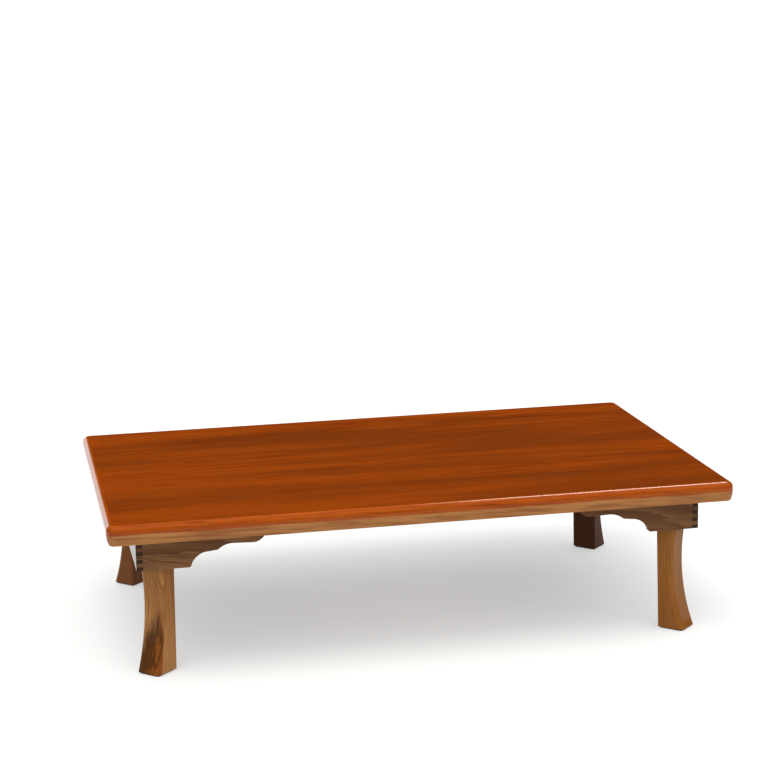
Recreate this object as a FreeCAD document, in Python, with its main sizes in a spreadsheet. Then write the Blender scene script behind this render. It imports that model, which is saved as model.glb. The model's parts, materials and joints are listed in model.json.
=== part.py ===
import FreeCAD, Part
import os
import re
import Sketcher
from FreeCAD import Placement, Rotation, Vector

# Low table with folding legs, in millimetres.
# The origin is on the floor under the middle of the top: +X along the top, -Y the front, +Z up.

doc = FreeCAD.newDocument("low_table")
sheet = doc.addObject("Spreadsheet::Sheet", "Sizes")

# Driving dimensions
SIZES = [
    ("table_height", 310),
    # Top board: a core with solid edge strips round it, mitred at the corners
    ("top_length", 1200),
    ("top_width", 750),
    ("top_thickness", 37),
    ("veneer_thickness", 1),
    ("backing_thickness", 1),
    ("strip_width", 30),
    ("tongue_thickness", 8),
    ("tongue_depth", 6),
    ("edge_round", 12),
    ("edge_upright", 6),
    ("edge_tuck", 4),
    ("corner_radius", 18),
    ("glue_gap", 0.03),
    # Apron: an end board finger-jointed to two carved brackets
    ("apron_overhang", 55),
    ("apron_height", 65),
    ("apron_thickness", 12),
    ("finger_pairs", 4),
    ("heel_length", 97),
    ("heel_radius", 5),
    ("first_arch_run", 33),
    ("cusp_length", 17),
    ("cusp_fall", 2),
    ("second_arch_run", 28),
    ("second_arch_rise", 10.5),
    ("nose_length", 38),
    ("nose_lift", 1.5),
    ("nose_radius", 26),
    # Blocks glued in the corners and along the end boards
    ("corner_block_height", 45),
    ("glue_block_side", 18),
    ("glue_block_length", 60),
    ("glue_block_spacing", 150),
    # Leg, seen from its side: inner face leaning out below the shoe, hollow outer face
    ("leg_thickness", 54),
    ("leg_top_depth", 37.5),
    ("leg_hollow", 4),
    ("foot_sweep", 26),
    ("foot_lean", 5),
    ("waist_drop", 117),
    ("shoulder_radius", 80),
    ("waist_radius", 400),
    ("leg_arris", 10),
    ("inner_arris", 2),
    ("leg_crown", 18),
    ("apron_clearance", 0.6),
    ("stop_gap", 0.5),
    ("pad_thickness", 3),
    ("pad_inset", 4),
    # Folding fitting: base on the top, shoe on the leg, pin and leaf spring between them
    ("pivot_inset", 8),
    ("pin_diameter", 8),
    ("pin_clearance", 0.05),
    ("pin_grip", 0.02),
    ("pin_head_diameter", 13),
    ("pin_head_height", 2),
    ("shoe_thickness", 2),
    ("shoe_gap", 0.05),
    ("shoe_length", 40),
    ("shoe_reach", 18),
    ("cam_radius", 4),
    ("side_gap", 0.3),
    ("plate_thickness", 2),
    ("plate_inward", 62),
    ("plate_outward", 16),
    ("ear_thickness", 2),
    ("ear_radius", 12),
    ("spring_room", 2.9),
    ("spring_thickness", 1),
    ("spring_gap", 0.1),
    ("spring_width", 16),
    ("spring_seat", 16),
    ("spring_jog", 6),
    ("spring_reach", 8),
    ("spring_curl", 4),
    # Fasteners
    ("screw_diameter", 4),
    ("screw_length", 16),
    ("screw_head_diameter", 8),
    ("screw_head_height", 2),
    ("screw_clearance", 0.05),
    ("plate_screw_margin", 9),
    ("plate_screw_spacing", 26),
    ("shoe_screw_margin", 8),
    ("shoe_screw_inset", 5),
]
for row, (alias, number) in enumerate(SIZES, start=1):
    sheet.set(f"A{row}", alias)
    sheet.set(f"B{row}", str(number))
    sheet.setAlias(f"B{row}", alias)
doc.recompute()


def cells(expression):
    """Put the sheet's name before every size in an expression."""
    return re.sub(r"\b([a-z]+(?:_[a-z]+)+)\b", r"Sizes.\1", expression)


def measure(expression):
    """The number that an expression of sizes comes to."""
    return float(sheet.evalExpression(cells(expression)))


def bind(thing, prop, expression):
    """Tie a property of an object to an expression of sizes."""
    thing.setExpression(prop, cells(expression))


# Heights and places that several pieces share
UNDERSIDE = "(table_height - top_thickness)"
CORE_THICKNESS = "(top_thickness - veneer_thickness - backing_thickness)"
CORE_MIDDLE = f"(table_height - veneer_thickness - {CORE_THICKNESS} / 2)"
CAM = "(pivot_inset + shoe_thickness)"
SPRING_LOW = f"({CAM} + spring_gap)"
PLATE_LOW = f"({SPRING_LOW} + spring_thickness + spring_room)"
PIVOT_DROP = f"({PLATE_LOW} + plate_thickness)"
PIVOT_HEIGHT = f"({UNDERSIDE} - {PIVOT_DROP})"
LEG_BELOW = f"({PIVOT_HEIGHT} - pad_thickness)"
LEG_OUTER = "(leg_top_depth - pivot_inset)"
FOOT_OUTER = f"({LEG_OUTER} - leg_hollow + foot_sweep)"
FOOT_INNER = "(foot_lean - pivot_inset)"
CORNER_ROOM = "(leg_thickness / 2 - (2 - sqrt(2)) * leg_arris + sqrt(2) * apron_clearance)"
APRON_CORNER = f"({LEG_OUTER} + {CORNER_ROOM})"
PIVOT_X = f"(top_length / 2 - apron_overhang - apron_thickness - {APRON_CORNER} / sqrt(2))"
PIVOT_Y = f"(top_width / 2 - apron_overhang - apron_thickness - {APRON_CORNER} / sqrt(2))"
SHOE_INSIDE = "(leg_thickness / 2 + shoe_gap)"
SHOE_OUTSIDE = f"({SHOE_INSIDE} + shoe_thickness)"
EAR_INSIDE = f"({SHOE_OUTSIDE} + side_gap)"
EAR_OUTSIDE = f"({EAR_INSIDE} + ear_thickness)"
FINGER = "(apron_height / (2 * finger_pairs + 1))"
SEAT_MIDDLE = "(plate_inward - spring_seat / 2)"

# The four corners: signs of X and Y, and the turn of the diagonal that points outwards
CORNERS = {
    "front_left": (-1, -1, -135),
    "front_right": (1, -1, -45),
    "back_left": (-1, 1, 135),
    "back_right": (1, 1, 45),
}
# Screws of a base: how far inwards, which side of the diagonal, and where the head bears
PLATE_SIDE = f"({EAR_OUTSIDE} - plate_screw_margin)"
PLATE_FRONT = f"({SEAT_MIDDLE} - plate_screw_spacing)"
PLATE_SCREWS = [
    (SEAT_MIDDLE, 0, f"({PLATE_LOW} - spring_thickness - 2 * glue_gap)"),
    (PLATE_FRONT, -1, PLATE_LOW),
    (PLATE_FRONT, 1, PLATE_LOW),
]
SHOE_SCREW_LOW = "(shoe_length - shoe_screw_margin)"
Z_AXIS = Vector(0, 0, 1)
# How near a point has to be to count as on a face
NEAR = 0.01
parts = []


def new_body(label):
    """An empty body that becomes the sub-part of that name."""
    body = doc.addObject("PartDesign::Body", label)
    body.Label = label
    return body


def place(body, x, y, z, turn=0):
    """Put a sub-part at x, y, z, turned about the vertical, and count it among the parts."""
    spot = Vector(measure(x), measure(y), measure(z))
    body.Placement = Placement(spot, Rotation(Z_AXIS, turn))
    for axis, expression in zip("xyz", (x, y, z)):
        bind(body, f"Placement.Base.{axis}", expression)
    parts.append(body)


def new_sketch(body, name, plane):
    """A sketch on one of a body's own origin planes."""
    sketch = body.newObject("Sketcher::SketchObject", f"{body.Name}_{name}")
    origin = [item for item in body.Origin.OriginFeatures if item.Role == plane]
    sketch.AttachmentSupport = [(origin[0], "")]
    sketch.MapMode = "FlatFace"
    return sketch


def fix(sketch, geometry, point, x, y):
    """Hold one point of a sketch at an expression for x and one for y."""
    for kind, expression in (("DistanceX", x), ("DistanceY", y)):
        index = sketch.addConstraint(Sketcher.Constraint(kind, geometry, point, measure(expression)))
        bind(sketch, f"Constraints[{index}]", expression)


def arc_between(start, end, radius, turn):
    """The lesser arc from start to end, counterclockwise if turn is 1 and clockwise if it is -1."""
    chord = end - start
    rise = max(radius * radius - chord.Length ** 2 / 4, 0) ** 0.5
    across = Vector(-chord.y, chord.x, 0).normalize()
    centre = (start + end) / 2 + across * rise * turn
    first, last = (start, end) if turn > 0 else (end, start)
    circle = Part.Circle(centre, Z_AXIS, radius)
    return Part.ArcOfCircle(circle, circle.parameter(first), circle.parameter(last))


def outline(sketch, corners, arcs=None):
    """A closed outline through corners given as expressions; arcs maps a side to its radius and turn."""
    arcs = arcs or {}
    spots = [Vector(measure(x), measure(y), 0) for x, y in corners]
    base = sketch.GeometryCount
    count = len(spots)
    heads = []
    tails = []
    for side in range(count):
        start = spots[side]
        end = spots[(side + 1) % count]
        if side in arcs:
            radius, turn = arcs[side]
            sketch.addGeometry(arc_between(start, end, measure(radius), turn))
            heads.append(1 if turn > 0 else 2)
            tails.append(2 if turn > 0 else 1)
        else:
            sketch.addGeometry(Part.LineSegment(start, end))
            heads.append(1)
            tails.append(2)
    for side in range(count):
        after = (side + 1) % count
        joint = ("Coincident", base + side, tails[side], base + after, heads[after])
        sketch.addConstraint(Sketcher.Constraint(*joint))
    for side, (x, y) in enumerate(corners):
        fix(sketch, base + side, heads[side], x, y)
    for side, (radius, turn) in arcs.items():
        index = sketch.addConstraint(Sketcher.Constraint("Radius", base + side, measure(radius)))
        bind(sketch, f"Constraints[{index}]", radius)


def rectangle(sketch, left, low, right, high):
    """A rectangle between two corners given as expressions."""
    outline(sketch, [(left, low), (right, low), (right, high), (left, high)])


def circle(sketch, x, y, radius):
    """A circle at an expression for its centre and one for its radius."""
    spot = Vector(measure(x), measure(y), 0)
    number = sketch.addGeometry(Part.Circle(spot, Z_AXIS, measure(radius)))
    fix(sketch, number, 3, x, y)
    index = sketch.addConstraint(Sketcher.Constraint("Radius", number, measure(radius)))
    bind(sketch, f"Constraints[{index}]", radius)


def pad(body, sketch, length, both_ways=True, reverse=False):
    """Raise a sketch to a solid, half to each side of its plane or all to one side."""
    feature = body.newObject("PartDesign::Pad", f"{sketch.Name}_pad")
    feature.Profile = sketch
    feature.SideType = "Symmetric" if both_ways else "One side"
    feature.Reversed = reverse
    bind(feature, "Length", length)
    doc.recompute()


def pocket(body, sketch, length, both_ways=True, reverse=False):
    """Cut a sketch out of a body, and make sure that the cut took something away."""
    before = body.Shape.Volume
    feature = body.newObject("PartDesign::Pocket", f"{sketch.Name}_cut")
    feature.Profile = sketch
    feature.SideType = "Symmetric" if both_ways else "One side"
    feature.Reversed = reverse
    bind(feature, "Length", length)
    doc.recompute()
    if body.Shape.Volume >= before:
        raise RuntimeError(f"{feature.Name} cuts nothing")
    return feature


def upward_copies(body, feature, count, spacing):
    """Repeat a cut up the vertical of its sketch."""
    pattern = body.newObject("PartDesign::LinearPattern", f"{feature.Name}_row")
    pattern.Originals = [feature]
    pattern.Direction = (feature.Profile[0], ["V_Axis"])
    bind(pattern, "Occurrences", count)
    bind(pattern, "Length", f"({count} - 1) * {spacing}")
    body.Tip = pattern
    doc.recompute()


def round_edges(body, radius, wanted):
    """Round the edges of a body that a test picks by their middle point and direction."""
    carrier = body.Tip
    names = []
    for number, edge in enumerate(carrier.Shape.Edges, start=1):
        middle = edge.valueAt((edge.FirstParameter + edge.LastParameter) / 2)
        along = edge.tangentAt((edge.FirstParameter + edge.LastParameter) / 2)
        if wanted(middle, along):
            names.append(f"Edge{number}")
    feature = body.newObject("PartDesign::Fillet", f"{body.Name}_round_{len(body.Group)}")
    feature.Base = (carrier, names)
    bind(feature, "Radius", radius)
    doc.recompute()


def turned(body, sketch, degrees=360, clockwise=False):
    """Turn a half profile about the vertical of its sketch into a solid."""
    feature = body.newObject("PartDesign::Revolution", f"{sketch.Name}_turned")
    feature.Profile = sketch
    feature.ReferenceAxis = (sketch, ["V_Axis"])
    feature.Angle = degrees
    feature.Reversed = clockwise
    doc.recompute()


def group(label, master, placements):
    """Several copies of one fastener as separate solids in one sub-part."""
    copies = []
    for placement in placements:
        solid = master.Shape.copy()
        solid.Placement = placement
        copies.append(solid)
    feature = doc.addObject("Part::Feature", label)
    feature.Label = label
    feature.Shape = Part.makeCompound(copies)
    feature.Placement = Placement()
    parts.append(feature)


def corner_placement(corner, u, w, z):
    """Where a point of a corner's own frame lies: u outwards on the diagonal, w across and z up."""
    x_sign, y_sign, turn = CORNERS[corner]
    pivot = Vector(x_sign * measure(PIVOT_X), y_sign * measure(PIVOT_Y), measure(PIVOT_HEIGHT))
    frame = Placement(pivot, Rotation(Z_AXIS, turn))
    return frame.multiply(Placement(Vector(u, w, z), Rotation()))


def place_in_corner(body, corner):
    """Put a sub-part modelled about the pivot into one corner of the table."""
    x_sign, y_sign, turn = CORNERS[corner]
    place(body, f"{x_sign} * {PIVOT_X}", f"{y_sign} * {PIVOT_Y}", PIVOT_HEIGHT, turn)


def plate_holes(sketch, radius):
    """Holes for the screws of the four folding fittings, in the table's frame."""
    for x_sign, y_sign, turn in CORNERS.values():
        for row, side, bearing in PLATE_SCREWS:
            inward = f"({row} + {side * x_sign * y_sign} * {PLATE_SIDE}) / sqrt(2)"
            sideways = f"({row} - {side * x_sign * y_sign} * {PLATE_SIDE}) / sqrt(2)"
            x = f"{x_sign} * ({PIVOT_X} - {inward})"
            y = f"{y_sign} * ({PIVOT_Y} - {sideways})"
            circle(sketch, x, y, radius)


# Top board
def core_board():
    """The core, grooved all round for the tongues of the edge strips and drilled for the fittings."""
    body = new_body("top_core")
    half_length = "(top_length / 2 - strip_width - glue_gap)"
    half_width = "(top_width / 2 - strip_width - glue_gap)"
    face = new_sketch(body, "face", "XY_Plane")
    rectangle(face, f"-{half_length}", f"-{half_width}", half_length, half_width)
    pad(body, face, f"{CORE_THICKNESS} - 2 * glue_gap")
    groove = new_sketch(body, "groove", "XY_Plane")
    deep = "(tongue_depth + glue_gap)"
    rectangle(groove, f"-{half_length} - {deep}", f"-{half_width} - {deep}",
              f"{half_length} + {deep}", f"{half_width} + {deep}")
    rectangle(groove, f"-{half_length} + {deep}", f"-{half_width} + {deep}",
              f"{half_length} - {deep}", f"{half_width} - {deep}")
    pocket(body, groove, "tongue_thickness + 2 * glue_gap")
    pilots = new_sketch(body, "pilots", "XY_Plane")
    plate_holes(pilots, "screw_diameter / 2 + screw_clearance")
    pocket(body, pilots, CORE_THICKNESS, both_ways=False)
    place(body, "0", "0", CORE_MIDDLE)


def face_veneer():
    """The show veneer, laid over the core and the edge strips as far as the rounded arris."""
    body = new_body("top_veneer")
    sheet_face = new_sketch(body, "face", "XY_Plane")
    half_length = "(top_length / 2 - edge_round - glue_gap)"
    half_width = "(top_width / 2 - edge_round - glue_gap)"
    rounding = "(corner_radius - edge_round - glue_gap)"
    outline(sheet_face, [
        (f"-{half_length} + {rounding}", f"-{half_width}"),
        (f"{half_length} - {rounding}", f"-{half_width}"),
        (half_length, f"-{half_width} + {rounding}"),
        (half_length, f"{half_width} - {rounding}"),
        (f"{half_length} - {rounding}", half_width),
        (f"-{half_length} + {rounding}", half_width),
        (f"-{half_length}", f"{half_width} - {rounding}"),
        (f"-{half_length}", f"-{half_width} + {rounding}"),
    ], {side: (rounding, 1) for side in (1, 3, 5, 7)})
    pad(body, sheet_face, "veneer_thickness")
    place(body, "0", "0", "table_height - veneer_thickness / 2")


def backing_veneer():
    """The balancing veneer under the core, with the screw holes."""
    body = new_body("backing_veneer")
    sheet_face = new_sketch(body, "face", "XY_Plane")
    half_length = "(top_length / 2 - strip_width - glue_gap)"
    half_width = "(top_width / 2 - strip_width - glue_gap)"
    rectangle(sheet_face, f"-{half_length}", f"-{half_width}", half_length, half_width)
    plate_holes(sheet_face, "screw_diameter / 2 + screw_clearance")
    pad(body, sheet_face, "backing_thickness")
    place(body, "0", "0", f"{UNDERSIDE} + backing_thickness / 2")


def edge_strip(label, length, x, y, turn):
    """A solid edge strip: round above, upright, tucked in below, with a tongue and mitred round ends."""
    body = new_body(label)
    section = new_sketch(body, "section", "YZ_Plane")
    tongue_high = f"(veneer_thickness + {CORE_THICKNESS} / 2 - tongue_thickness / 2)"
    tongue_low = f"({tongue_high} + tongue_thickness)"
    tip = "-(strip_width + tongue_depth)"
    upright_end = "(edge_round + edge_upright)"
    fall = f"(top_thickness - {upright_end})"
    corners = [
        ("-strip_width", "-veneer_thickness"),
        ("-edge_round", "-veneer_thickness"),
        ("-edge_round", "0"),
        ("0", "-edge_round"),
        ("0", f"-{upright_end}"),
        ("-edge_tuck", "-top_thickness"),
        ("-strip_width", "-top_thickness"),
        ("-strip_width", f"-{tongue_low}"),
        (tip, f"-{tongue_low}"),
        (tip, f"-{tongue_high}"),
        ("-strip_width", f"-{tongue_high}"),
    ]
    tuck_radius = f"(({fall} * {fall} + edge_tuck * edge_tuck) / (2 * edge_tuck))"
    outline(section, corners, {2: ("edge_round", -1), 4: (tuck_radius, -1)})
    pad(body, section, length)
    bend = f"({length} / 2 - corner_radius)"
    square = new_sketch(body, "square", "XY_Plane")
    for end in (-1, 1):
        rectangle(square, f"{end} * {bend}", "-corner_radius", f"{end} * {length}", "corner_radius")
    pocket(body, square, "4 * top_thickness")
    for end in (-1, 1):
        bow = new_sketch(body, "bow", "YZ_Plane")
        centre = Vector(-measure("corner_radius"), 0, end * measure(bend))
        bow.AttachmentOffset = Placement(centre, Rotation())
        bind(bow, "AttachmentOffset.Base.x", "-corner_radius")
        bind(bow, "AttachmentOffset.Base.z", f"{end} * {bend}")
        outline(bow, [
            ("0", "-veneer_thickness"),
            ("corner_radius - edge_round", "-veneer_thickness"),
            ("corner_radius - edge_round", "0"),
            ("corner_radius", "-edge_round"),
            ("corner_radius", f"-{upright_end}"),
            ("corner_radius - edge_tuck", "-top_thickness"),
            ("0", "-top_thickness"),
        ], {2: ("edge_round", -1), 4: (tuck_radius, -1)})
        turned(body, bow, 45, clockwise=end > 0)
    mitre = new_sketch(body, "mitre", "XY_Plane")
    reach = "(strip_width + 2 * tongue_depth)"
    past = "tongue_depth"
    for end in (-1, 1):
        line = f"({length} / 2 - glue_gap)"
        outline(mitre, [
            (f"{end} * ({line} + {past})", past),
            (f"{end} * ({line} - {reach})", f"-{reach}"),
            (f"{end} * ({line} + {past})", f"-{reach}"),
        ])
    pocket(body, mitre, "4 * top_thickness")
    place(body, x, y, "table_height", turn)


# Apron
def end_board(label, x_sign):
    """The board across one end, notched at both ends for the fingers of the brackets."""
    body = new_body(label)
    half_width = "(top_width / 2 - apron_overhang)"
    face = new_sketch(body, "face", "YZ_Plane")
    rectangle(face, f"-{half_width}", "-apron_height", half_width, "0")
    pad(body, face, "apron_thickness")
    notch = new_sketch(body, "notch", "YZ_Plane")
    for end in (-1, 1):
        rectangle(notch, f"{end} * ({half_width} - apron_thickness - glue_gap)",
                  f"-apron_height + {FINGER} - glue_gap",
                  f"{end} * ({half_width} + apron_thickness)",
                  f"-apron_height + 2 * {FINGER} + glue_gap")
    first = pocket(body, notch, "2 * apron_thickness")
    upward_copies(body, first, "finger_pairs", f"2 * {FINGER}")
    place(body, f"{x_sign} * (top_length / 2 - apron_overhang - apron_thickness / 2)", "0", UNDERSIDE)


def bracket(label, x_sign, y_sign):
    """A carved bracket: flat heel, two hollow arches stepped by a cusp, and a round nose."""
    body = new_body(label)
    profile = new_sketch(body, "profile", "XZ_Plane")
    first_start = "(heel_length + heel_radius)"
    first_end = f"({first_start} + first_arch_run)"
    second_start = f"({first_end} + cusp_length)"
    second_end = f"({second_start} + second_arch_run)"
    nose_end = f"({second_end} + nose_length)"
    second_depth = "(nose_radius - nose_lift)"
    cusp_depth = f"({second_depth} + second_arch_rise)"
    first_depth = f"({cusp_depth} + cusp_fall)"
    first_low = "(apron_height - heel_radius)"
    first_rise = f"({first_low} - {first_depth})"
    corners = [
        ("0", "0"),
        (f"{nose_end} + nose_radius", "0"),
        (nose_end, "-nose_radius"),
        (second_end, f"-{second_depth}"),
        (second_start, f"-{cusp_depth}"),
        (first_end, f"-{first_depth}"),
        (first_start, f"-{first_low}"),
        ("heel_length", "-apron_height"),
        ("0", "-apron_height"),
    ]
    arcs = {
        1: ("nose_radius", -1),
        3: ("(second_arch_run ^ 2 + second_arch_rise ^ 2) / (2 * second_arch_rise)", 1),
        5: (f"(first_arch_run ^ 2 + {first_rise} ^ 2) / (2 * {first_rise})", 1),
        6: ("heel_radius", -1),
    }
    outline(profile, corners, arcs)
    pad(body, profile, "apron_thickness")
    notch = new_sketch(body, "notch", "XZ_Plane")
    rectangle(notch, "-apron_thickness", "-apron_height - glue_gap",
              "apron_thickness + glue_gap", f"-apron_height + {FINGER} + glue_gap")
    first = pocket(body, notch, "2 * apron_thickness")
    upward_copies(body, first, "(finger_pairs + 1)", f"2 * {FINGER}")
    turn = 0 if x_sign < 0 else 180
    place(body, f"{x_sign} * (top_length / 2 - apron_overhang)",
          f"{y_sign} * (top_width / 2 - apron_overhang - apron_thickness / 2)", UNDERSIDE, turn)


def corner_block(label, corner):
    """A three-cornered block glued into the apron's corner; the open leg stands against it."""
    body = new_body(label)
    face = new_sketch(body, "face", "XY_Plane")
    front = f"({LEG_OUTER} + stop_gap)"
    apex = f"({APRON_CORNER} - 2 * glue_gap)"
    outline(face, [(apex, "0"), (front, f"{apex} - {front}"), (front, f"{front} - {apex}")])
    pad(body, face, "corner_block_height")
    x_sign, y_sign, turn = CORNERS[corner]
    place(body, f"{x_sign} * {PIVOT_X}", f"{y_sign} * {PIVOT_Y}",
          f"{UNDERSIDE} - corner_block_height / 2", turn)


def glue_block():
    """One three-cornered glue block, which is the pattern for all of them."""
    body = new_body("glue_block")
    section = new_sketch(body, "section", "XZ_Plane")
    outline(section, [("glue_gap", "0"), ("glue_block_side", "0"), ("glue_gap", "-glue_block_side")])
    pad(body, section, "glue_block_length")
    return body


def glue_blocks(label, master, x_sign):
    """Glue blocks along the inside of one end board."""
    inside = x_sign * measure("top_length / 2 - apron_overhang - apron_thickness")
    turn = Rotation(Z_AXIS, 180 if x_sign > 0 else 0)
    spots = []
    for step in (-1, 0, 1):
        spot = Vector(inside, step * measure("glue_block_spacing"), measure(UNDERSIDE))
        spots.append(Placement(spot, turn))
    group(label, master, spots)


# Legs
def leg(label, corner):
    """A leg: inner face leaning out to the foot, outer face hollowed to a waist and swept out."""
    body = new_body(label)
    side = new_sketch(body, "side", "XZ_Plane")
    waist_outer = f"({LEG_OUTER} - leg_hollow)"
    radii = "(shoulder_radius + waist_radius)"
    shoulder = f"sqrt({radii} ^ 2 - ({radii} - leg_hollow) ^ 2)"
    drop = f"({LEG_BELOW} - waist_drop)"
    corners = [
        ("-pivot_inset", "pivot_inset"),
        ("leg_crown - pivot_inset", "pivot_inset"),
        (LEG_OUTER, "0"),
        (LEG_OUTER, f"{shoulder} - waist_drop"),
        (f"{LEG_OUTER} - shoulder_radius * leg_hollow / {radii}",
         f"{shoulder} * waist_radius / {radii} - waist_drop"),
        (waist_outer, "-waist_drop"),
        (FOOT_OUTER, f"-{LEG_BELOW}"),
        (FOOT_INNER, f"-{LEG_BELOW}"),
        ("-pivot_inset", "-shoe_length"),
    ]
    arcs = {
        3: ("shoulder_radius", -1),
        4: ("waist_radius", 1),
        5: (f"({drop} ^ 2 + foot_sweep ^ 2) / (2 * foot_sweep)", 1),
    }
    outline(side, corners, arcs)
    pad(body, side, "leg_thickness")
    half = measure("leg_thickness / 2")
    outer = measure(waist_outer) - NEAR
    inner = measure(FOOT_INNER) + NEAR
    round_edges(body, "leg_arris", lambda middle, along: abs(abs(middle.y) - half) < NEAR
                and middle.x > outer and abs(along.z) > abs(along.x) and middle.z < 0)
    round_edges(body, "inner_arris", lambda middle, along: abs(abs(middle.y) - half) < NEAR
                and middle.x < inner and abs(along.z) > abs(along.x))
    holes = new_sketch(body, "holes", "XZ_Plane")
    circle(holes, "0", "0", "pin_diameter / 2 + pin_clearance")
    circle(holes, "shoe_screw_inset", f"-{SHOE_SCREW_LOW}", "screw_diameter / 2 + screw_clearance")
    pocket(body, holes, "2 * leg_thickness")
    place_in_corner(body, corner)


def foot_pad(label, corner):
    """The felt pad under a foot."""
    body = new_body(label)
    face = new_sketch(body, "face", "XY_Plane")
    half = "(leg_thickness / 2 - pad_inset)"
    inner = f"({FOOT_INNER} + pad_inset)"
    outer = f"({FOOT_OUTER} - pad_inset)"
    rounding = "(leg_arris - pad_inset)"
    outline(face, [
        (inner, f"-{half}"),
        (f"{outer} - {rounding}", f"-{half}"),
        (outer, f"-{half} + {rounding}"),
        (outer, f"{half} - {rounding}"),
        (f"{outer} - {rounding}", half),
        (inner, half),
    ], {1: (rounding, 1), 3: (rounding, 1)})
    pad(body, face, "pad_thickness")
    x_sign, y_sign, turn = CORNERS[corner]
    place(body, f"{x_sign} * {PIVOT_X}", f"{y_sign} * {PIVOT_Y}", "pad_thickness / 2", turn)


# Folding fittings
def leg_shoe(label, corner):
    """The pressed steel shoe on a leg's head: two cheeks, an end and an inner plate that form the cam."""
    body = new_body(label)
    side = new_sketch(body, "side", "XZ_Plane")
    outline(side, [
        (f"-{CAM}", "-shoe_length"),
        (f"-{CAM}", f"{CAM} - cam_radius"),
        (f"-{CAM} + cam_radius", CAM),
        ("shoe_reach - cam_radius", CAM),
        ("shoe_reach", f"{CAM} - cam_radius"),
        ("shoe_reach", f"-shoe_length + {CAM}"),
        (f"shoe_reach - {CAM}", "-shoe_length"),
    ], {1: ("cam_radius", -1), 5: (CAM, -1)})
    pad(body, side, f"2 * {SHOE_OUTSIDE}")
    inside = new_sketch(body, "inside", "XZ_Plane")
    rectangle(inside, "-pivot_inset - shoe_gap", "-2 * shoe_length",
              "2 * shoe_reach", "pivot_inset + shoe_gap")
    pocket(body, inside, f"2 * {SHOE_INSIDE}")
    holes = new_sketch(body, "holes", "XZ_Plane")
    circle(holes, "0", "0", "pin_diameter / 2 + pin_clearance")
    circle(holes, "shoe_screw_inset", f"-{SHOE_SCREW_LOW}", "screw_diameter / 2 + screw_clearance")
    pocket(body, holes, "2 * leg_thickness")
    place_in_corner(body, corner)


def hinge_base(label, corner):
    """The pressed steel base screwed under the top: a plate with two ears that hold the pin."""
    body = new_body(label)
    side = new_sketch(body, "side", "XZ_Plane")
    outline(side, [
        ("-plate_inward", PLATE_LOW),
        ("-plate_inward", PIVOT_DROP),
        ("plate_outward", PIVOT_DROP),
        ("plate_outward", PLATE_LOW),
        ("ear_radius", PLATE_LOW),
        ("ear_radius", "0"),
        ("0", "-ear_radius"),
        ("-ear_radius", "0"),
        ("-ear_radius", PLATE_LOW),
    ], {5: ("ear_radius", -1), 6: ("ear_radius", -1)})
    pad(body, side, f"2 * {EAR_OUTSIDE}")
    inside = new_sketch(body, "inside", "XZ_Plane")
    rectangle(inside, "-2 * plate_inward", "-2 * ear_radius", "2 * plate_outward", PLATE_LOW)
    pocket(body, inside, f"2 * {EAR_INSIDE}")
    pin_holes = new_sketch(body, "pin_holes", "XZ_Plane")
    circle(pin_holes, "0", "0", "pin_diameter / 2 + pin_grip")
    pocket(body, pin_holes, f"4 * {EAR_OUTSIDE}")
    fixings = new_sketch(body, "fixings", "XY_Plane")
    for row, side, bearing in PLATE_SCREWS:
        circle(fixings, f"-{row}", f"{side} * {PLATE_SIDE}", "screw_diameter / 2 + screw_clearance")
    pocket(body, fixings, f"2 * {PIVOT_DROP}", both_ways=False, reverse=True)
    place_in_corner(body, corner)


def pivot_pin(label, corner):
    """The pin through both ears, both cheeks and the leg, headed at both ends."""
    body = new_body(label)
    half = new_sketch(body, "half", "XY_Plane")
    neck = f"({EAR_OUTSIDE} + pin_grip)"
    end = f"({neck} + pin_head_height)"
    outline(half, [
        ("0", f"-{end}"),
        ("pin_head_diameter / 2", f"-{end}"),
        ("pin_head_diameter / 2", f"-{neck}"),
        ("pin_diameter / 2", f"-{neck}"),
        ("pin_diameter / 2", neck),
        ("pin_head_diameter / 2", neck),
        ("pin_head_diameter / 2", end),
        ("0", end),
    ])
    turned(body, half)
    place_in_corner(body, corner)


def leaf_spring(label, corner):
    """The leaf spring under the base: it presses on the shoe's cam and holds the leg open or folded."""
    body = new_body(label)
    side = new_sketch(body, "side", "XZ_Plane")
    seat_low = f"({PLATE_LOW} - glue_gap - spring_thickness)"
    seat_end = "(plate_inward - spring_seat)"
    jog_end = f"({seat_end} - spring_jog)"
    outline(side, [
        ("-plate_inward", seat_low),
        (f"-{seat_end}", seat_low),
        (f"-{jog_end}", SPRING_LOW),
        ("spring_reach", SPRING_LOW),
        ("spring_reach + spring_curl", f"{SPRING_LOW} + spring_room / 2"),
        ("spring_reach + spring_curl", f"{SPRING_LOW} + spring_room / 2 + spring_thickness"),
        ("spring_reach", f"{SPRING_LOW} + spring_thickness"),
        (f"-{jog_end}", f"{SPRING_LOW} + spring_thickness"),
        (f"-{seat_end}", f"{seat_low} + spring_thickness"),
        ("-plate_inward", f"{seat_low} + spring_thickness"),
    ])
    pad(body, side, "spring_width")
    hole = new_sketch(body, "hole", "XY_Plane")
    circle(hole, f"-{SEAT_MIDDLE}", "0", "screw_diameter / 2 + screw_clearance")
    pocket(body, hole, f"2 * {PIVOT_DROP}", both_ways=False, reverse=True)
    place_in_corner(body, corner)


# Fasteners
def eight_sides(sketch, radius):
    """A regular outline of eight sides with its corners at a radius given as an expression."""
    slant = f"({radius} / sqrt(2))"
    outline(sketch, [
        (radius, "0"), (slant, slant), ("0", radius), (f"-{slant}", slant),
        (f"-{radius}", "0"), (f"-{slant}", f"-{slant}"), ("0", f"-{radius}"), (slant, f"-{slant}"),
    ])


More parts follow.
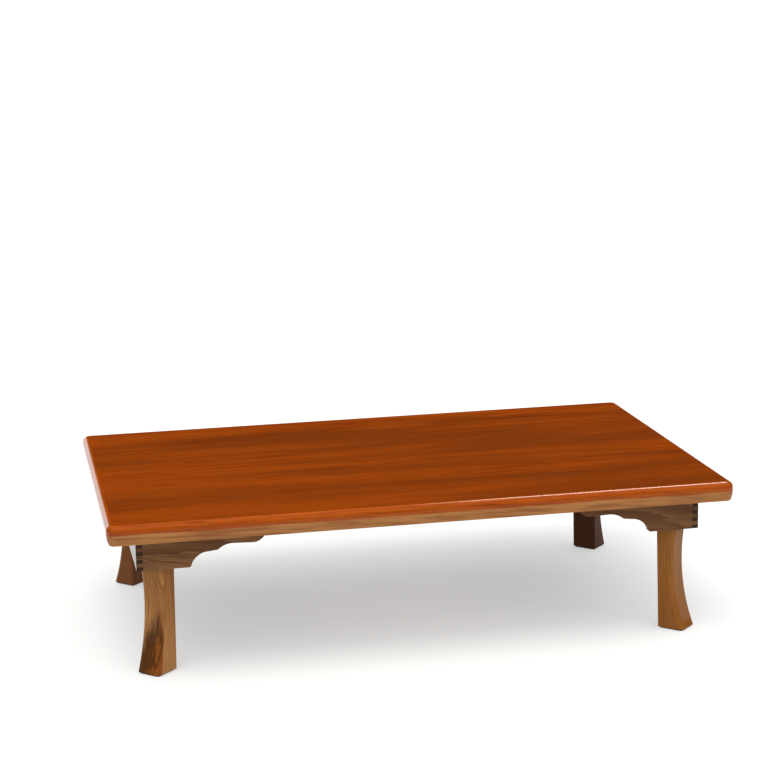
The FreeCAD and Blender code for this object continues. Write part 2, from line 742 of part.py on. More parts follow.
def wood_screw():
    """A screw standing on its head: head below zero and shank above it, eight-sided to have few faces."""
    body = new_body("wood_screw")
    shank = new_sketch(body, "shank", "XY_Plane")
    eight_sides(shank, "(screw_diameter / 2)")
    pad(body, shank, "screw_length", both_ways=False)
    head = new_sketch(body, "head", "XY_Plane")
    eight_sides(head, "(screw_head_diameter / 2)")
    pad(body, head, "screw_head_height", both_ways=False, reverse=True)
    return body


def plate_screws(master):
    """The screws that hold the four bases under the top; the inner ones clamp the leaf springs too."""
    across = measure(PLATE_SIDE)
    spots = []
    for corner in CORNERS:
        for row, side, bearing in PLATE_SCREWS:
            spots.append(corner_placement(corner, -measure(row), side * across, measure(bearing)))
    group("plate_screws", master, spots)


def shoe_screws(label, master, corner):
    """The screws through a shoe's two cheeks into the leg."""
    spots = []
    for side in (-1, 1):
        face = side * measure(f"{SHOE_OUTSIDE} + glue_gap")
        seat = corner_placement(corner, measure("shoe_screw_inset"), face, -measure(SHOE_SCREW_LOW))
        spots.append(seat.multiply(Placement(Vector(), Rotation(Vector(1, 0, 0), 90 * side))))
    group(label, master, spots)


core_board()
face_veneer()
backing_veneer()
edge_strip("edge_strip_front", "top_length", "0", "-top_width / 2", 180)
edge_strip("edge_strip_back", "top_length", "0", "top_width / 2", 0)
edge_strip("edge_strip_left", "top_width", "-top_length / 2", "0", 90)
edge_strip("edge_strip_right", "top_width", "top_length / 2", "0", -90)
block = glue_block()
for end, x_sign in (("left", -1), ("right", 1)):
    end_board(f"end_apron_{end}", x_sign)
    doc.recompute()
    glue_blocks(f"glue_blocks_{end}", block, x_sign)
screw = wood_screw()
doc.recompute()
plate_screws(screw)
for corner, (x_sign, y_sign, turn) in CORNERS.items():
    bracket(f"bracket_{corner}", x_sign, y_sign)
    corner_block(f"corner_block_{corner}", corner)
    hinge_base(f"hinge_base_{corner}", corner)
    pivot_pin(f"pivot_pin_{corner}", corner)
    leaf_spring(f"leaf_spring_{corner}", corner)
    leg(f"leg_{corner}", corner)
    leg_shoe(f"leg_shoe_{corner}", corner)
    shoe_screws(f"shoe_screws_{corner}", screw, corner)
    foot_pad(f"foot_pad_{corner}", corner)
doc.recompute()

for thing in doc.Objects:
    if "Invalid" in thing.State or "Error" in thing.State:
        raise RuntimeError(f"{thing.Label} failed: {thing.State}")
for part in parts:
    if part.Shape.isNull() or not part.Shape.isValid():
        raise RuntimeError(f"{part.Label} has no valid shape")
os.makedirs("parts", exist_ok=True)
for part in parts:
    part.Shape.exportStep(f"parts/{part.Label}.step")
print(len(parts), "parts written")
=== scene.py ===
import json
import math

import bpy
import numpy as np
from mathutils import Matrix, Vector


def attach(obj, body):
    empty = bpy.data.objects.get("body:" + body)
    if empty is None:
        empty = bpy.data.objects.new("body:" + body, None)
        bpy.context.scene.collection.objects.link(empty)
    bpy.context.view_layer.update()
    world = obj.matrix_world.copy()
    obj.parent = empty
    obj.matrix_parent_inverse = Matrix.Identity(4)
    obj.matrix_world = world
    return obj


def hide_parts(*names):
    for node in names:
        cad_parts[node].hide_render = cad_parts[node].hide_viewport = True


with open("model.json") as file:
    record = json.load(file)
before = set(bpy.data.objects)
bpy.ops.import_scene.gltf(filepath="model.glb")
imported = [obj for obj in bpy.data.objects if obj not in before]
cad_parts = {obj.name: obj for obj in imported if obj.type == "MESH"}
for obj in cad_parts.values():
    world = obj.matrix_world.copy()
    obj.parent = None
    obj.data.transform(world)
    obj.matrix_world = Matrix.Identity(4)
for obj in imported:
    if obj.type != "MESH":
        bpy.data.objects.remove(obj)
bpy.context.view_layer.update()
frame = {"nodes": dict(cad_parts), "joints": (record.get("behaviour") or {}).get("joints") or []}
nodes = frame["nodes"]


# Core board: a thick board of pale softwood staves, grooved all round for the tongues of the edge
# strips. It is raw wood, and the veneers and strips hide all of it.
def feed(tree, node, inputs):
    """Give a node its inputs: one that is a socket is linked, any other is set."""
    for name, value in inputs.items():
        if isinstance(value, bpy.types.NodeSocket):
            tree.links.new(value, node.inputs[name])
        else:
            node.inputs[name].default_value = value


def add_node(tree, kind, inputs=None, **settings):
    """One node of a kind, with its settings and inputs."""
    made = tree.nodes.new(kind)
    for name, value in settings.items():
        setattr(made, name, value)
    feed(tree, made, inputs or {})
    return made


def material_tree(name):
    """The node tree of a new material."""
    material = bpy.data.materials.new(name)
    material.use_nodes = True
    return material.node_tree


def object_place(tree):
    """Where each point of a piece is, in metres in the table's own frame."""
    return add_node(tree, "ShaderNodeTexCoord").outputs["Object"]


def drawn_out(tree, place, lengths=(1, 1, 1), start=(0, 0, 0), turn=(0, 0, 0)):
    """A place measured from a start along turned axes and divided by lengths, which draws patterns out."""
    return add_node(tree, "ShaderNodeMapping", {
        "Vector": place, "Location": start, "Rotation": turn, "Scale": lengths,
    }, vector_type="TEXTURE").outputs[0]


def noise(tree, place, scale, detail, rough=0.5):
    """Cloudy noise about 0.5, which swings once in about 1 / scale metres and has finer detail on that."""
    return add_node(tree, "ShaderNodeTexNoise", {
        "Vector": place, "Scale": scale, "Detail": detail, "Roughness": rough}).outputs[0]


def share(tree, value, low, high):
    """How far a value has gone from low to high, eased at both ends, from 0 to 1."""
    return add_node(tree, "ShaderNodeMapRange", {0: value, 1: low, 2: high},
                    interpolation_type="SMOOTHSTEP").outputs[0]


def carried(tree, value, low, high, at_low, at_high):
    """A value carried evenly from the range low to high onto at_low to at_high, and held at both ends."""
    return add_node(tree, "ShaderNodeMapRange", {0: value, 1: low, 2: high, 3: at_low, 4: at_high}).outputs[0]


def mixed(tree, amount, first, second):
    """Two colours mixed by an amount from 0, all first, to 1, all second."""
    first, second = (c if isinstance(c, bpy.types.NodeSocket) else (*c, 1) for c in (first, second))
    return add_node(tree, "ShaderNodeMix", {0: amount, 6: first, 7: second}, data_type="RGBA").outputs[2]


def cut_from_log(name, pith, heading, ring_gap, wander, early, late, streak):
    """Wood cut from one log: growth rings are cylinders about the pith, a line through a point with a
    heading, and each ring darkens from early to late wood. Noise drawn out along the pith bends the rings,
    darkens whole streaks and makes the pores. Returns the material's tree, its colour and its pores."""
    tree = material_tree(name)
    place = object_place(tree)
    log = drawn_out(tree, place, (9, 1, 1), pith, heading)
    fibre = drawn_out(tree, place, (45, 1, 1), pith, heading)
    rings = add_node(tree, "ShaderNodeTexWave", {
        "Vector": log, "Scale": math.tau / 20 / ring_gap, "Distortion": wander,
        "Detail": 3, "Detail Scale": 80 * ring_gap, "Detail Roughness": 0.55,
    }, wave_type="RINGS", rings_direction="X", wave_profile="SAW").outputs["Fac"]
    cloud = noise(tree, log, 22, 3, 0.6)
    bands = noise(tree, fibre, 130, 3, 0.6)
    pores = noise(tree, fibre, 620, 4, 0.65)
    colour = mixed(tree, rings, early, late)
    colour = mixed(tree, share(tree, bands, 0.42, 0.75), colour, late)
    colour = mixed(tree, share(tree, cloud, 0.52, 0.9), colour, streak)
    in_pore = carried(tree, pores, 0.36, 0.52, 0.45, 0.0)
    colour = mixed(tree, in_pore, colour, tuple(0.35 * c for c in late))
    return tree, colour, pores


def varnish(tree, colour, pores, coat, rough, grain_depth, coat_ior=1.16):
    """Finish a wood: its pores dent the surface and dull it a little, and a clear coat lies over it."""
    dent = add_node(tree, "ShaderNodeBump", {"Strength": 0.5, "Distance": grain_depth, "Height": pores})
    feed(tree, tree.nodes["Principled BSDF"], {
        "Base Color": colour,
        "Roughness": carried(tree, pores, 0.3, 0.7, rough + 0.1, rough - 0.05),
        "Normal": dent.outputs["Normal"],
        "Specular IOR Level": 0.0,
        "Coat Weight": coat,
        "Coat Roughness": 0.05,
        "Coat IOR": coat_ior,
    })


def dress(tree, names):
    """Put the material that owns a tree on CAD nodes."""
    material = next(m for m in bpy.data.materials if m.node_tree == tree)
    for name in names:
        nodes[name].material_slots[0].material = material


core_tree, core_colour, core_pores = cut_from_log(
    "core_board", pith=(0, 0, 0.25), heading=(0, 0, 0), ring_gap=0.006, wander=3,
    early=(0.62, 0.42, 0.22), late=(0.48, 0.30, 0.14), streak=(0.55, 0.36, 0.18))
varnish(core_tree, core_colour, core_pores, coat=0.0, rough=0.75, grain_depth=0.0003)
dress(core_tree, ["top_core"])


# Backing veneer: a thin sheet of plain wood glued under the core, so that the top stays flat. It has
# only a thin satin coat, and its grain runs with the length.
backing_tree, backing_colour, backing_pores = cut_from_log(
    "backing", pith=(0, 0.05, 0.1), heading=(0, 0.05, 0.02), ring_gap=0.007, wander=5,
    early=(0.36, 0.20, 0.095), late=(0.27, 0.14, 0.06), streak=(0.22, 0.11, 0.045))
varnish(backing_tree, backing_colour, backing_pores, coat=0.25, rough=0.5, grain_depth=0.0002)
dress(backing_tree, ["backing_veneer"])


# Edge strips: four solid strips glued round the core on a tongue and mitred at the corners. The upper
# half is stained with the top, and the lower half, which tucks in and faces the floor, is painted a paler
# tan: painted light from the floor below.
def product(tree, first, second):
    """One value times another."""
    return add_node(tree, "ShaderNodeMath", {0: first, 1: second}, operation="MULTIPLY").outputs[0]


def added(tree, first, second, times=1.0):
    """One value plus a number of times another."""
    return add_node(tree, "ShaderNodeMath", {0: second, 1: times, 2: first},
                    operation="MULTIPLY_ADD").outputs[0]


def smooth_round_faces(limit):
    """A modifier group that joins a CAD node's loose triangles, and shades as one the faces that meet at an
    angle below a limit."""
    group = bpy.data.node_groups.new("smooth_round_faces", "GeometryNodeTree")
    for way in ("INPUT", "OUTPUT"):
        group.interface.new_socket("Geometry", in_out=way, socket_type="NodeSocketGeometry")
    start = add_node(group, "NodeGroupInput")
    joined = add_node(group, "GeometryNodeMergeByDistance", {"Geometry": start.outputs[0], "Distance": 1e-6})
    soft = add_node(group, "GeometryNodeSetShadeSmooth", {
        "Geometry": joined.outputs[0], "Shade Smooth": True})
    angle = add_node(group, "GeometryNodeInputMeshEdgeAngle")
    crisp = add_node(group, "FunctionNodeCompare", {0: angle.outputs[0], 1: limit}, operation="GREATER_THAN")
    sharp = add_node(group, "GeometryNodeSetShadeSmooth", {
        "Geometry": soft.outputs[0], "Selection": crisp.outputs[0], "Shade Smooth": False}, domain="EDGE")
    add_node(group, "NodeGroupOutput", {0: sharp.outputs[0]})
    return group


round_faces = smooth_round_faces(math.radians(28))


def ease(names, width=0.0):
    """Shade CAD nodes' round faces smoothly and, given a width, take that much off their sharp edges."""
    for name in names:
        shading = nodes[name].modifiers.new("round_faces", "NODES")
        shading.node_group = round_faces
        if width:
            bevel = nodes[name].modifiers.new("eased_edges", "BEVEL")
            bevel.width = width
            bevel.segments = 2
            bevel.limit_method = "ANGLE"
            bevel.angle_limit = math.radians(50)
        even = nodes[name].modifiers.new("flat_faces_stay_flat", "WEIGHTED_NORMAL")
        even.keep_sharp = True


# Below this height each strip is painted a paler tan: painted light, standing in for the floor's light on the
# tucked-in lower half.
floor_light_edge, raggedness = 0.292, 0.006
dark_fleck = (0.15, 0.023, 0.002)
floor_lit_pale_tan, floor_lit_deep_tan = (0.40, 0.190, 0.060), (0.25, 0.098, 0.028)
strip_runs = {
    "long": (["edge_strip_front", "edge_strip_back"], (0, 0.03, 0.0), 1.25),
    "short": (["edge_strip_left", "edge_strip_right"], (0, 0.03, math.pi / 2), 1.4),
}
for run, (strips, heading, coat_ior) in strip_runs.items():
    strip_tree, strip_colour, strip_pores = cut_from_log(
        f"edge_wood_{run}", pith=(0, 0, 0.2), heading=heading, ring_gap=0.005, wander=6,
        early=(0.385, 0.076, 0.004), late=(0.285, 0.050, 0.003), streak=dark_fleck)
    place = object_place(strip_tree)
    mottle = noise(strip_tree, drawn_out(strip_tree, place, (14, 1, 1), turn=heading), 150, 4)
    floor_lit_tan = mixed(strip_tree, share(strip_tree, mottle, 0.35, 0.68), floor_lit_pale_tan, floor_lit_deep_tan)
    floor_lit_tan = mixed(strip_tree, 0.82, strip_colour, floor_lit_tan)
    flecked = product(strip_tree, share(strip_tree, mottle, 0.58, 0.74), 0.7)
    strip_colour = mixed(strip_tree, flecked, strip_colour, dark_fleck)
    height = add_node(strip_tree, "ShaderNodeSeparateXYZ", {0: place}).outputs["Z"]
    height = added(strip_tree, height, mottle, raggedness)
    # Painted light: below the edge the colour goes over to the paler tan of the floor-lit lower half.
    floor_lit_share = share(strip_tree, height, floor_light_edge + 0.8 * raggedness, floor_light_edge + 0.3 * raggedness)
    strip_colour = mixed(strip_tree, floor_lit_share, strip_colour, floor_lit_tan)
    varnish(strip_tree, strip_colour, strip_pores, coat=1.0, rough=0.32, grain_depth=0.00005,
            coat_ior=coat_ior)
    dress(strip_tree, strips)
    ease(strips)


# Top veneer: one sheet of figured wood over the core, its grain along the table with broad browner bands
# in it. The bands are wood figure, but they are set so that they also darken the left back and the right
# as painted shade. It is stained orange brown and lacquered to a mirror gloss.
veneer_tree, veneer_colour, veneer_pores = cut_from_log(
    "top_veneer", pith=(0, 0.3, 0.05), heading=(0, 0.012, 0.01), ring_gap=0.011, wander=7,
    early=(0.32, 0.059, 0.0035), late=(0.22, 0.037, 0.0025), streak=(0.12, 0.018, 0.002))
# Where the bands start is set so that their browner patches also fall as painted shade at the left back and
# the right, leaving the front middle brightest.
along_grain = drawn_out(veneer_tree, object_place(veneer_tree), (10, 1, 1), start=(0.15, 0.14, 0))
bands_and_painted_shade = share(veneer_tree, noise(veneer_tree, along_grain, 11, 4), 0.38, 0.70)
band_and_shade_brown = (0.120, 0.023, 0.003)
veneer_colour = mixed(veneer_tree, product(veneer_tree, bands_and_painted_shade, 0.75), veneer_colour, band_and_shade_brown)
varnish(veneer_tree, veneer_colour, veneer_pores, coat=1.0, rough=0.3, grain_depth=0.00003)
dress(veneer_tree, ["top_veneer"])


# Apron: a board across each end, finger-jointed to two carved brackets. All are of the same darker
# wood, lacquered; the ends of the fingers show dark end grain.
corners = {"front_left": (-1, -1), "front_right": (1, -1), "back_left": (-1, 1), "back_right": (1, 1)}
end_grain, end_skin = (0.048, 0.026, 0.016), 0.0003
brackets = [f"bracket_{c}" for c in corners]
end_boards = ["end_apron_left", "end_apron_right"]
board_runs = {
    "brackets": (brackets, (0, 0.0, 0.20), (0, 0.10, 0.03), "X", 0.545),
    "end_boards": (end_boards, (0.5, 0, 0.30), (0, 0.05, math.pi / 2), "Y", 0.320),
}
for run, (boards, pith, heading, axis, end) in board_runs.items():
    apron_tree, apron_colour, apron_pores = cut_from_log(
        f"apron_wood_{run}", pith, heading, ring_gap=0.009, wander=9,
        early=(0.25, 0.125, 0.055), late=(0.14, 0.062, 0.026), streak=(0.10, 0.042, 0.018))
    along = add_node(apron_tree, "ShaderNodeSeparateXYZ", {0: object_place(apron_tree)}).outputs[axis]
    from_middle = add_node(apron_tree, "ShaderNodeMath", {0: along}, operation="ABSOLUTE").outputs[0]
    at_end = share(apron_tree, from_middle, end - 3 * end_skin, end - end_skin)
    apron_colour = mixed(apron_tree, at_end, apron_colour, end_grain)
    varnish(apron_tree, apron_colour, apron_pores, coat=0.8, rough=0.38, grain_depth=0.0001)
    dress(apron_tree, boards)
    ease(boards, 0.0006)


# Corner blocks and glue blocks: three-cornered pieces of raw softwood, glued into the corners and along
# the end boards. The open legs stand against the corner blocks.
block_tree, block_colour, block_pores = cut_from_log(
    "block_wood", pith=(0.2, 0.1, 0.2), heading=(0, 0.3, 0.8), ring_gap=0.004, wander=3,
    early=(0.60, 0.40, 0.20), late=(0.45, 0.27, 0.12), streak=(0.50, 0.32, 0.15))
varnish(block_tree, block_colour, block_pores, coat=0.0, rough=0.7, grain_depth=0.0003)
blocks = ["glue_blocks_left", "glue_blocks_right", *[f"corner_block_{c}" for c in corners]]
dress(block_tree, blocks)
ease(blocks, 0.0008)


# Hinge bases and leg shoes: pressed steel, zinc plated. A base is screwed under the top at each corner,
# and a shoe wraps the head of each leg.
def plated(name, bright, dim, rough, spangle):
    """Bare or plated metal: a cloudy mix of two greys, with a fine brushed noise in its roughness and its
    dents. Spangle is about how many clouds there are to a metre."""
    tree = material_tree(name)
    place = object_place(tree)
    cloud = noise(tree, place, spangle, 4)
    brushed = add_node(tree, "ShaderNodeMapping", {"Vector": place, "Scale": (1, 1, 9)}).outputs[0]
    brush = noise(tree, brushed, 900, 2)
    dent = add_node(tree, "ShaderNodeBump", {"Strength": 0.3, "Distance": 0.00004, "Height": brush})
    feed(tree, tree.nodes["Principled BSDF"], {
        "Base Color": mixed(tree, share(tree, cloud, 0.35, 0.65), bright, dim),
        "Roughness": carried(tree, brush, 0.3, 0.7, rough - 0.08, rough + 0.12),
        "Normal": dent.outputs["Normal"],
        "Metallic": 1.0,
    })
    return tree


zinc_tree = plated(
    "plated_steel", bright=(0.72, 0.71, 0.66), dim=(0.55, 0.55, 0.53), rough=0.34, spangle=160)
bases = [f"hinge_base_{c}" for c in corners]
shoes = [f"leg_shoe_{c}" for c in corners]
dress(zinc_tree, bases + shoes)
ease(bases)
ease(shoes, 0.0004)


# Pivot pins: plain turned steel rod with a head at both ends. Each goes through both ears of a base, and
# the head of the leg turns on it between them.
pin_tree = plated(
    "pin_steel", bright=(0.60, 0.60, 0.60), dim=(0.48, 0.48, 0.49), rough=0.28, spangle=260)
pins = [f"pivot_pin_{c}" for c in corners]
dress(pin_tree, pins)
ease(pins, 0.0005)


# Leaf springs: bent strips of blued spring steel. Each is clamped under its base by the inner screw and
# presses on the square cam of the shoe, so that the leg snaps open and shut.
spring_tree = plated(
    "spring_steel", bright=(0.13, 0.14, 0.18), dim=(0.07, 0.075, 0.10), rough=0.38, spangle=120)
springs = [f"leaf_spring_{c}" for c in corners]
dress(spring_tree, springs)
ease(springs, 0.0002)


# Screws: pan heads with a cross recess, zinc plated. Three hold each base under the top, the inner one
# with the leaf spring under its head, and two hold each shoe on its leg.
def cross_head_screw(columns=56):
    """One screw standing on its head, as a profile turned about z: a dome, a rim, the seat, the shank and the
    point. Two crossed slots are pressed into the dome: their depth falls off beyond the slot's half width and
    towards the end of its arms. Returns the points, the corners of the faces that join row to row and close
    both ends, and how many corners each face has."""
    head, rim, crown, shank, length = 0.0040, 0.0009, 0.0020, 0.0020, 0.016
    slot_half, slot_wall, slot_depth = 0.00042, 0.00016, 0.0011
    arm, arm_slope = 0.0023, 0.0007
    dome_radius = np.linspace(0.0002, 0.0037, 15)
    dome_height = -crown * np.sqrt(1 - 0.62 * (dome_radius / head) ** 2)
    radius = np.concatenate([dome_radius, [head, head, shank, shank, shank * 0.5, 0.0001]])
    height = np.concatenate([dome_height, [-rim, 0.0, 0.0, length - 0.004, length - 0.0015, length]])
    angle = np.linspace(0, math.tau, columns, endpoint=False)
    x = radius[:, None] * np.cos(angle)
    y = radius[:, None] * np.sin(angle)
    across = np.minimum(np.abs(x), np.abs(y))
    along = np.maximum(np.abs(x), np.abs(y))
    wall = np.clip((slot_half - across) / slot_wall, 0, 1)
    reach = np.clip((arm - along) / arm_slope, 0, 1)
    on_dome = (np.arange(len(radius)) < len(dome_radius))[:, None]
    z = height[:, None] + slot_depth * wall * reach * on_dome
    points = np.stack([x, y, z], axis=-1).reshape(-1, 3)
    row, column = np.meshgrid(np.arange(len(radius) - 1), np.arange(columns), indexing="ij")
    after = (column + 1) % columns
    sides = np.stack([row * columns + column, row * columns + after,
                      (row + 1) * columns + after, (row + 1) * columns + column], axis=-1).reshape(-1, 4)
    crown_end = np.arange(columns)[::-1]
    point_end = (len(radius) - 1) * columns + np.arange(columns)
    face_corners = np.concatenate([sides.ravel(), crown_end, point_end])
    face_sizes = np.concatenate([np.full(len(sides), 4), [columns, columns]])
    return points, face_corners, face_sizes


def screw_set(name, body, node, places):
    """Copies of the screw at places given as turn and spot, in one piece that stands for a CAD node."""
    points, face_corners, face_sizes = cross_head_screw()
    all_points = np.concatenate([points @ np.array(turn).T + np.array(spot) for turn, spot in places])
    first_point = len(points) * np.arange(len(places))[:, None]
    all_corners = (first_point + face_corners).ravel()
    all_sizes = np.tile(face_sizes, len(places))
    mesh = bpy.data.meshes.new(name)
    mesh.vertices.add(len(all_points))
    mesh.vertices.foreach_set("co", all_points.ravel())
    mesh.loops.add(len(all_corners))
    mesh.loops.foreach_set("vertex_index", all_corners)
    mesh.polygons.add(len(all_sizes))
    mesh.polygons.foreach_set("loop_start", np.cumsum(all_sizes) - all_sizes)
    mesh.polygons.foreach_set("use_smooth", np.ones(len(all_sizes), bool))
    mesh.update(calc_edges=True)
    mesh.materials.append(bpy.data.materials["screw_steel"])
    piece = bpy.data.objects.new(name, mesh)
    bpy.context.scene.collection.objects.link(piece)
    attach(piece, body)
    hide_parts(node)


def corner_of(joint):
    """A folding joint's corner, the middle of its pin, and the level direction out along the diagonal."""
    corner = joint["name"].removeprefix("fold_")
    return corner, Vector(joint["pos_m"]), Vector((*corners[corner], 0)).normalized()


plated("screw_steel", bright=(0.70, 0.69, 0.63), dim=(0.52, 0.51, 0.48), rough=0.30, spangle=300)
upwards = Vector((0, 0, 1))
inner_row, outer_row, plate_side = 0.054, 0.028, 0.02235
plate_seat, spring_seat = 0.01400, 0.01294
shoe_side, shoe_row, shoe_drop = 0.02908, 0.005, 0.032
base_screws = (
    (inner_row, 0, spring_seat, 3.78),
    (outer_row, -1, plate_seat, 0.96),
    (outer_row, 1, plate_seat, 2.96),
)
shoe_screws = ((-1, -0.6), (1, 1.4))
plate_places = []
for joint in frame["joints"]:
    corner, pivot, outwards = corner_of(joint)
    sideways = upwards.cross(outwards)
    for inward, side, seat, slot_turn in base_screws:
        spot = pivot - outwards * inward + sideways * side * plate_side + upwards * seat
        plate_places.append((Matrix.Rotation(slot_turn, 3, "Z"), spot))
    shoe_places = []
    for side, slot_turn in shoe_screws:
        drive = -sideways * side
        facing = Matrix((outwards, drive.cross(outwards), drive)).transposed()
        spot = pivot + outwards * shoe_row + sideways * side * shoe_side - upwards * shoe_drop
        shoe_places.append((facing @ Matrix.Rotation(slot_turn, 3, "Z"), spot))
    screw_set(f"shoe_screw_set_{corner}", f"folding_leg_{corner}", f"shoe_screws_{corner}", shoe_places)
screw_set("plate_screw_set", "table_top", "plate_screws", plate_places)


# Legs: solid wood sawn between the heart and the bark, so that the rings run up the leg as straight
# stripes. One leg keeps a tongue of dark heartwood in its foot. Lacquered over a thin stain. The legs'
# tones are painted light and shade: the front left is lighter as lit, the back legs darker as painted
# shade under the top, and towards the foot three legs darken as painted shade while the front left
# lightens as painted light.
def heartwood(tree, on_leg, colour):
    """Darken a tongue of striped heartwood on the outer face. It fills the foot and narrows to a ragged tip
    about 0.13 m up, where height = 0.13 - 50 * (sideways - 0.012) ** 2. It is redder to one side, and goes
    only as deep as where outward + 0.19 * height comes to 0.04."""
    outward, sideward, height = add_node(tree, "ShaderNodeSeparateXYZ", {0: on_leg}).outputs
    coarse = add_node(tree, "ShaderNodeMapping", {"Vector": on_leg, "Scale": (1, 1, 0.12)}).outputs[0]
    fine = add_node(tree, "ShaderNodeMapping", {"Vector": on_leg, "Scale": (1, 1, 0.03)}).outputs[0]
    aside = added(tree, -0.012, sideward)
    near_tip = added(tree, height, product(tree, aside, aside), 50.0)
    near_tip = added(tree, near_tip, noise(tree, coarse, 160, 3), 0.09)
    near_face = added(tree, outward, height, 0.19)
    inside = product(tree, share(tree, near_tip, 0.185, 0.125), share(tree, near_face, 0.040, 0.043))
    redder = share(tree, added(tree, noise(tree, fine, 170, 4), aside, 9.0), 0.40, 0.62)
    heart = mixed(tree, redder, (0.048, 0.013, 0.004), (0.20, 0.052, 0.007))
    return mixed(tree, product(tree, inside, 0.88), colour, heart)


# Per corner: early, late and streak wood, then the foot tone. These are lit and shaded copies of one wood:
# painted light on the front left, painted shade on the back legs, darkest at the back right.
lit_and_shaded_leg_tones = {
    "front_left": ((0.43, 0.205, 0.068), (0.28, 0.108, 0.029), (0.19, 0.063, 0.015), (0.43, 0.215, 0.078)),
    "front_right": ((0.36, 0.150, 0.034), (0.27, 0.103, 0.021), (0.20, 0.068, 0.013), (0.20, 0.065, 0.013)),
    "back_left": ((0.24, 0.095, 0.034), (0.175, 0.062, 0.020), (0.13, 0.044, 0.013), (0.17, 0.058, 0.018)),
    "back_right": ((0.10, 0.035, 0.012), (0.062, 0.020, 0.007), (0.046, 0.015, 0.005), (0.07, 0.022, 0.008)),
}
heart_inward, heart_aside = 0.11, 0.10
for joint in frame["joints"]:
    corner, pivot, outwards = corner_of(joint)
    early, late, streak, foot_light_and_shade = lit_and_shaded_leg_tones[corner]
    heading = math.atan2(outwards.y, outwards.x)
    pith = pivot - outwards * heart_inward + outwards.cross(upwards) * heart_aside
    leg_tree, leg_colour, leg_pores = cut_from_log(
        f"leg_wood_{corner}", pith, (0, -math.pi / 2, heading), 0.0048, 2.6, early, late, streak)
    place = object_place(leg_tree)
    # Towards the foot each leg goes over to its foot tone: painted shade on three legs, painted light on the
    # front left.
    height = add_node(leg_tree, "ShaderNodeSeparateXYZ", {0: place}).outputs["Z"]
    painted_foot_light_and_shade = product(leg_tree, share(leg_tree, height, 0.20, 0.0), 0.55)
    leg_colour = mixed(leg_tree, painted_foot_light_and_shade, leg_colour, foot_light_and_shade)
    if corner == "front_left":
        on_leg = drawn_out(leg_tree, place, start=(pivot.x, pivot.y, 0), turn=(0, 0, heading))
        leg_colour = heartwood(leg_tree, on_leg, leg_colour)
    varnish(leg_tree, leg_colour, leg_pores, coat=0.9, rough=0.36, grain_depth=0.0001)
    dress(leg_tree, [f"leg_{corner}"])
    ease([f"leg_{corner}"], 0.0008)


# Foot pads: dark wool felt, 3 mm thick. Each is cut a little inside the outline of its foot and glued on,
# so that the table slides without scratching a floor.
felt_tree = material_tree("felt")
felt_place = object_place(felt_tree)
fibres = noise(felt_tree, felt_place, 900, 6)
tufts = noise(felt_tree, felt_place, 140, 3)
dark_wool, light_wool, tuft_grey = (0.022, 0.017, 0.013), (0.06, 0.048, 0.038), (0.035, 0.03, 0.028)
felt_colour = mixed(felt_tree, share(felt_tree, fibres, 0.35, 0.65), dark_wool, light_wool)
felt_colour = mixed(felt_tree, share(felt_tree, tufts, 0.5, 0.75), felt_colour, tuft_grey)
fuzz = add_node(felt_tree, "ShaderNodeBump", {"Strength": 0.8, "Distance": 0.0004, "Height": fibres})
feed(felt_tree, felt_tree.nodes["Principled BSDF"], {
    "Base Color": felt_colour, "Normal": fuzz.outputs["Normal"], "Roughness": 0.95, "Sheen Weight": 0.35})
pads = [f"foot_pad_{c}" for c in corners]
dress(felt_tree, pads)
ease(pads, 0.0006)


# Floor: one large pale sheet, far wider than the camera's view. It glows a little by itself, so that the
# shadow under the table stays light.
reach = 500.0
floor_corners = [(-reach, -reach, 0), (reach, -reach, 0), (reach, reach, 0), (-reach, reach, 0)]
floor_mesh = bpy.data.meshes.new("floor")
floor_mesh.from_pydata(floor_corners, [], [(0, 1, 2, 3)])
floor_tree = material_tree("pale_floor")
feed(floor_tree, floor_tree.nodes["Principled BSDF"], {
    "Base Color": (0.45, 0.45, 0.45, 1),
    "Emission Color": (0.935, 0.975, 1, 1),
    "Emission Strength": 0.49,
    "Roughness": 0.9,
    "Specular IOR Level": 0.1,
})
floor_mesh.materials.append(bpy.data.materials["pale_floor"])
floor = bpy.data.objects.new("floor", floor_mesh)
bpy.context.scene.collection.objects.link(floor)


# Camera: a long lens on the photograph's viewing angle, from the front left and a little above. Its place,
# its turn and its lens were fitted together to the corners of the top.
camera_data = bpy.data.cameras.new("camera")
camera_data.sensor_width = 36.0
camera_data.lens = 94.11
camera = bpy.data.objects.new("camera", camera_data)
camera_place = (-0.7987, -3.9477, 1.3194)
pitch, yaw, roll = math.radians(12.18), math.radians(11.48), math.radians(-1.08)
ahead = Vector((math.sin(yaw) * math.cos(pitch), math.cos(yaw) * math.cos(pitch), -math.sin(pitch)))
level = Vector((math.cos(yaw), -math.sin(yaw), 0))
upright = level.cross(ahead)
right = level * math.cos(roll) + upright * math.sin(roll)
up = upright * math.cos(roll) - level * math.sin(roll)
camera_turn = Matrix((right, up, -ahead)).transposed().to_4x4()
camera.matrix_world = Matrix.Translation(camera_place) @ camera_turn
bpy.context.scene.collection.objects.link(camera)
bpy.context.scene.camera = camera


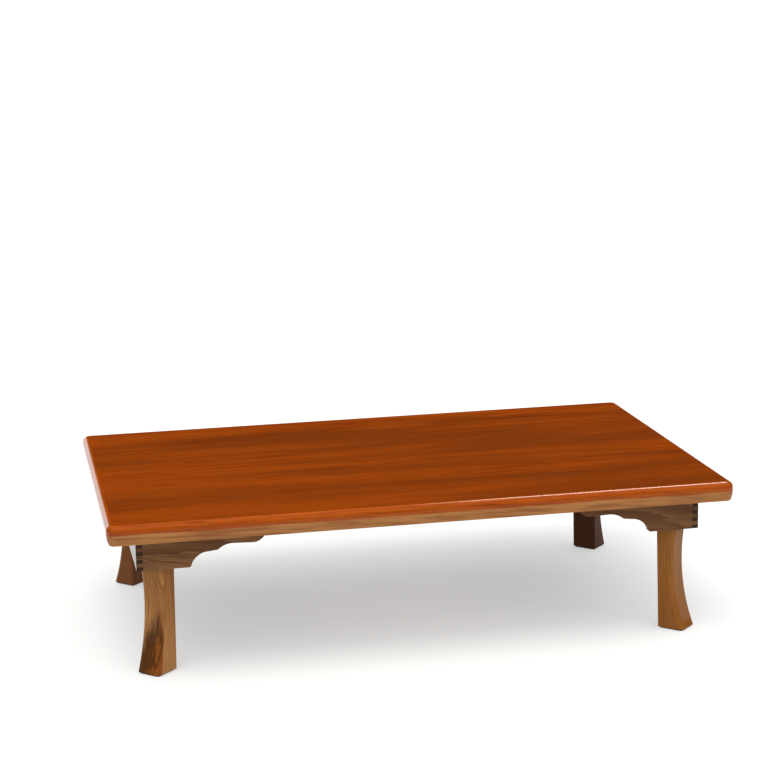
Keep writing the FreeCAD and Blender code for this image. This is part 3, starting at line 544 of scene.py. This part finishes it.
# Light: a broad ceiling, a lamp above the front left and a weaker front wall, which the lacquer mirrors only
# faintly, as under crossed polarising filters. A tube at the right shows in the gloss alone, a narrow bright
# wall stands low at the far left, and the camera sees a plain white backdrop.
bpy.context.scene.view_settings.view_transform = "Standard"
studio = bpy.data.worlds.new("studio")
bpy.context.scene.world = studio
studio.use_nodes = True
room = studio.node_tree
towards = add_node(room, "ShaderNodeTexCoord").outputs["Generated"]
sides = add_node(room, "ShaderNodeSeparateXYZ", {0: towards}).outputs
ray = add_node(room, "ShaderNodeLightPath").outputs


def bright_patch(strength, *spans):
    """A patch of the room: a strength times, for each span of a direction's x, y or z, how far that has gone
    from the span's dark end to its bright end."""
    patch = strength
    for axis, dark, bright in spans:
        patch = product(room, share(room, sides[axis], dark, bright), patch)
    return patch


ceiling = bright_patch(1.8, ("Z", 0.50, 0.80))
ceiling = product(room, ceiling, carried(room, sides["X"], -0.8, 0.8, 0.7, 1.3))
front_wall = bright_patch(1.05, ("Y", -0.1, -0.8), ("Z", 0.25, 0.50))
left_wall = bright_patch(1.6, ("X", -0.03, -0.09), ("X", -0.36, -0.30), ("Y", 0.80, 0.92), ("Z", 0.24, 0.16))
tube = bright_patch(22.0, ("X", 0.19, 0.27), ("X", 0.48, 0.40), ("Y", 0.10, 0.25),
                    ("Z", 0.70, 0.73), ("Z", 0.90, 0.87))
lamp_way = Vector((-0.24, -0.26, 0.93)).normalized()
to_lamp = add_node(room, "ShaderNodeVectorMath", {0: towards, 1: lamp_way}, operation="DOT_PRODUCT")
lamp = product(room, share(room, to_lamp.outputs["Value"], 0.93, 0.975), 4.5)
light = added(room, added(room, ceiling, lamp), front_wall)
light = product(room, light, carried(room, ray["Is Glossy Ray"], 0.0, 1.0, 1.0, 0.3))
light = added(room, light, left_wall)
light = added(room, light, product(room, tube, ray["Is Glossy Ray"]))
light = added(room, 0.008, light)
seen = add_node(room, "ShaderNodeMix", {0: ray["Is Camera Ray"], 2: light, 3: 1.1}, data_type="FLOAT")
feed(room, room.nodes["Background"], {"Color": (1, 0.975, 0.93, 1), "Strength": seen.outputs[0]})
